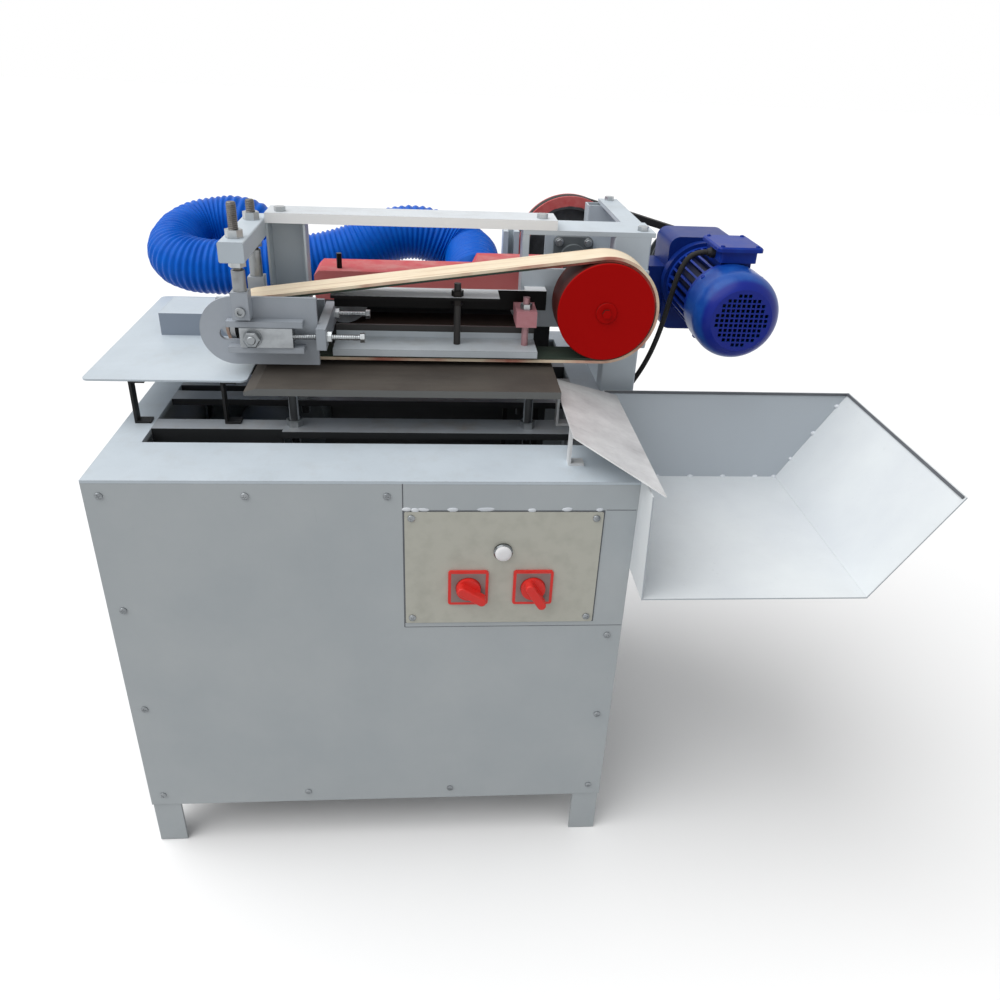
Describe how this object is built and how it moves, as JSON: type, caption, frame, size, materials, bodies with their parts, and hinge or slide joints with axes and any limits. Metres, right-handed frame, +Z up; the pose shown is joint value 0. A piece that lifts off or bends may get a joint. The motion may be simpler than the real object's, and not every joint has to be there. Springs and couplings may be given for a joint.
{
  "type": "skewer sharpening machine",
  "caption": "Floor-standing machine that rolls wooden skewers under a flat feed belt so an abrasive belt points their tips, with feed table, chute and collecting tray.",
  "frame": {"origin": "on the floor, under the middle of the machine's outline seen from above, hose left out", "axes": "+X to the operator's right, from the feed table to the tray; +Y to the back; +Z up"},
  "size_m": [1.462, 1.128, 1.15],
  "materials": {
    "grey_paint": "satin, light wear",
    "bare_steel": "milled and dull",
    "zinc_steel": "zinc plated",
    "panel_metal": "brushed",
    "bezel_chrome": "polished",
    "lamp_white": "translucent white",
    "switch_red": "moulded",
    "black_plastic": "moulded",
    "red_paint": "brushed on",
    "hood_red": "faded",
    "feed_belting": "flat woven belting",
    "black_rubber": "dull",
    "abrasive_cloth": "gritty",
    "wheel_metal": "turned",
    "blue_paint": "glossy enamel",
    "bed_wood": "worn planed board",
    "black_paint": "satin",
    "hose_blue": "ribbed",
    "motor_grey": "painted"
  },
  "bodies": {
    "machine": {"cabinet_frame": "grey_paint", "top_deck": "grey_paint", "support_rails": "grey_paint", "front_panel": "grey_paint", "side_panels": "grey_paint", "panel_screws": "zinc_steel", "control_plate": "panel_metal", "lamp_bezel": "bezel_chrome", "lamp_lens": "lamp_white", "switch_plates": "switch_red", "switch_bodies": "black_plastic", "feed_table": "grey_paint", "feed_table_legs": "black_paint", "feed_fence": "grey_paint", "chute": "grey_paint", "collecting_tray": "grey_paint", "frame_bolts": "zinc_steel", "tower_frame": "grey_paint", "bearing_plates": "grey_paint", "feed_bearings": "motor_grey", "top_beam": "grey_paint", "left_post": "grey_paint", "cross_arm": "grey_paint", "hanger_rods": "bare_steel", "adjusting_nuts": "zinc_steel", "idler_side_plates": "grey_paint", "feed_belt": "feed_belting", "shoe_carrier": "grey_paint", "feed_v_belt": "black_rubber", "gear_motor": "blue_paint", "motor_fan_cover": "blue_paint", "terminal_box": "blue_paint", "gearbox": "blue_paint", "motor_bracket": "grey_paint", "motor_cable": "black_rubber", "cable_glands": "black_plastic", "grinder_plate": "grey_paint", "grinder_hood": "hood_red", "abrasive_belt": "abrasive_cloth", "grinding_motor": "motor_grey", "grinder_v_belt": "black_rubber", "dust_hose": "hose_blue", "dust_fan": "motor_grey"},
    "feed_drive": {"drive_wheel": "red_paint", "feed_shaft": "bare_steel", "rear_pulley": "red_paint"},
    "idler_tension": {"tension_blocks": "bare_steel", "idler_axle": "bare_steel", "push_screws": "zinc_steel"},
    "idler": {"idler_pulley": "wheel_metal"},
    "output": {"output_pulley": "motor_grey"},
    "shoe": {"press_shoe": "bare_steel", "shoe_studs": "bare_steel"},
    "bed": {"bed_board": "bed_wood", "bed_base": "grey_paint"},
    "knob_left": {"switch_knob_left": "switch_red"},
    "knob_right": {"switch_knob_right": "switch_red"},
    "abrasive_drive": {"abrasive_drive_wheel": "wheel_metal"},
    "abrasive_idler": {"abrasive_idler_wheel": "wheel_metal"},
    "grind_drive": {"motor_pulley": "motor_grey"}
  },
  "joints": [
    {"name": "feed_drive_spin", "type": "hinge", "parent": "machine", "child": "feed_drive", "pos_m": [0.1795, 0.012, 0.9763], "axis": [0, 1, 0], "continuous": true},
    {"name": "idler_tension_slide", "type": "slide", "parent": "machine", "child": "idler_tension", "axis": [1, 0, 0], "range_m": [0, 0.012]},
    {"name": "idler_spin", "type": "hinge", "parent": "idler_tension", "child": "idler", "pos_m": [-0.4155, -0.055, 0.9358], "axis": [0, 1, 0], "continuous": true},
    {"name": "output_spin", "type": "hinge", "parent": "machine", "child": "output", "pos_m": [0.4355, 0.348, 0.955], "axis": [0, 1, 0], "continuous": true},
    {"name": "shoe_height", "type": "slide", "parent": "machine", "child": "shoe", "axis": [0, 0, 1], "range_m": [0, 0.008]},
    {"name": "bed_height", "type": "slide", "parent": "machine", "child": "bed", "axis": [0, 0, 1], "range_m": [-0.006, 0.004]},
    {"name": "left_switch_turn", "type": "hinge", "parent": "machine", "child": "knob_left", "pos_m": [-0.0605, -0.36, 0.592], "axis": [0, -1, 0], "range_deg": [-60, 60]},
    {"name": "right_switch_turn", "type": "hinge", "parent": "machine", "child": "knob_right", "pos_m": [0.0465, -0.36, 0.592], "axis": [0, -1, 0], "range_deg": [-60, 60]},
    {"name": "abrasive_drive_spin", "type": "hinge", "parent": "machine", "child": "abrasive_drive", "pos_m": [0.0785, 0.226, 0.9298], "axis": [0, 1, 0], "continuous": true},
    {"name": "abrasive_idler_spin", "type": "hinge", "parent": "machine", "child": "abrasive_idler", "pos_m": [-0.2915, 0.165, 0.9298], "axis": [0, 1, 0], "continuous": true},
    {"name": "grind_motor_spin", "type": "hinge", "parent": "machine", "child": "grind_drive", "pos_m": [0.0785, 0.21, 0.233], "axis": [0, 1, 0], "continuous": true}
  ],
  "couplings": [
    {"joint": "idler_spin", "follows": "feed_drive_spin", "ratio": 1.8215},
    {"joint": "output_spin", "follows": "feed_drive_spin", "ratio": 1.7757},
    {"joint": "abrasive_idler_spin", "follows": "abrasive_drive_spin", "ratio": 1},
    {"joint": "grind_motor_spin", "follows": "abrasive_drive_spin", "ratio": 0.7767}
  ]
}
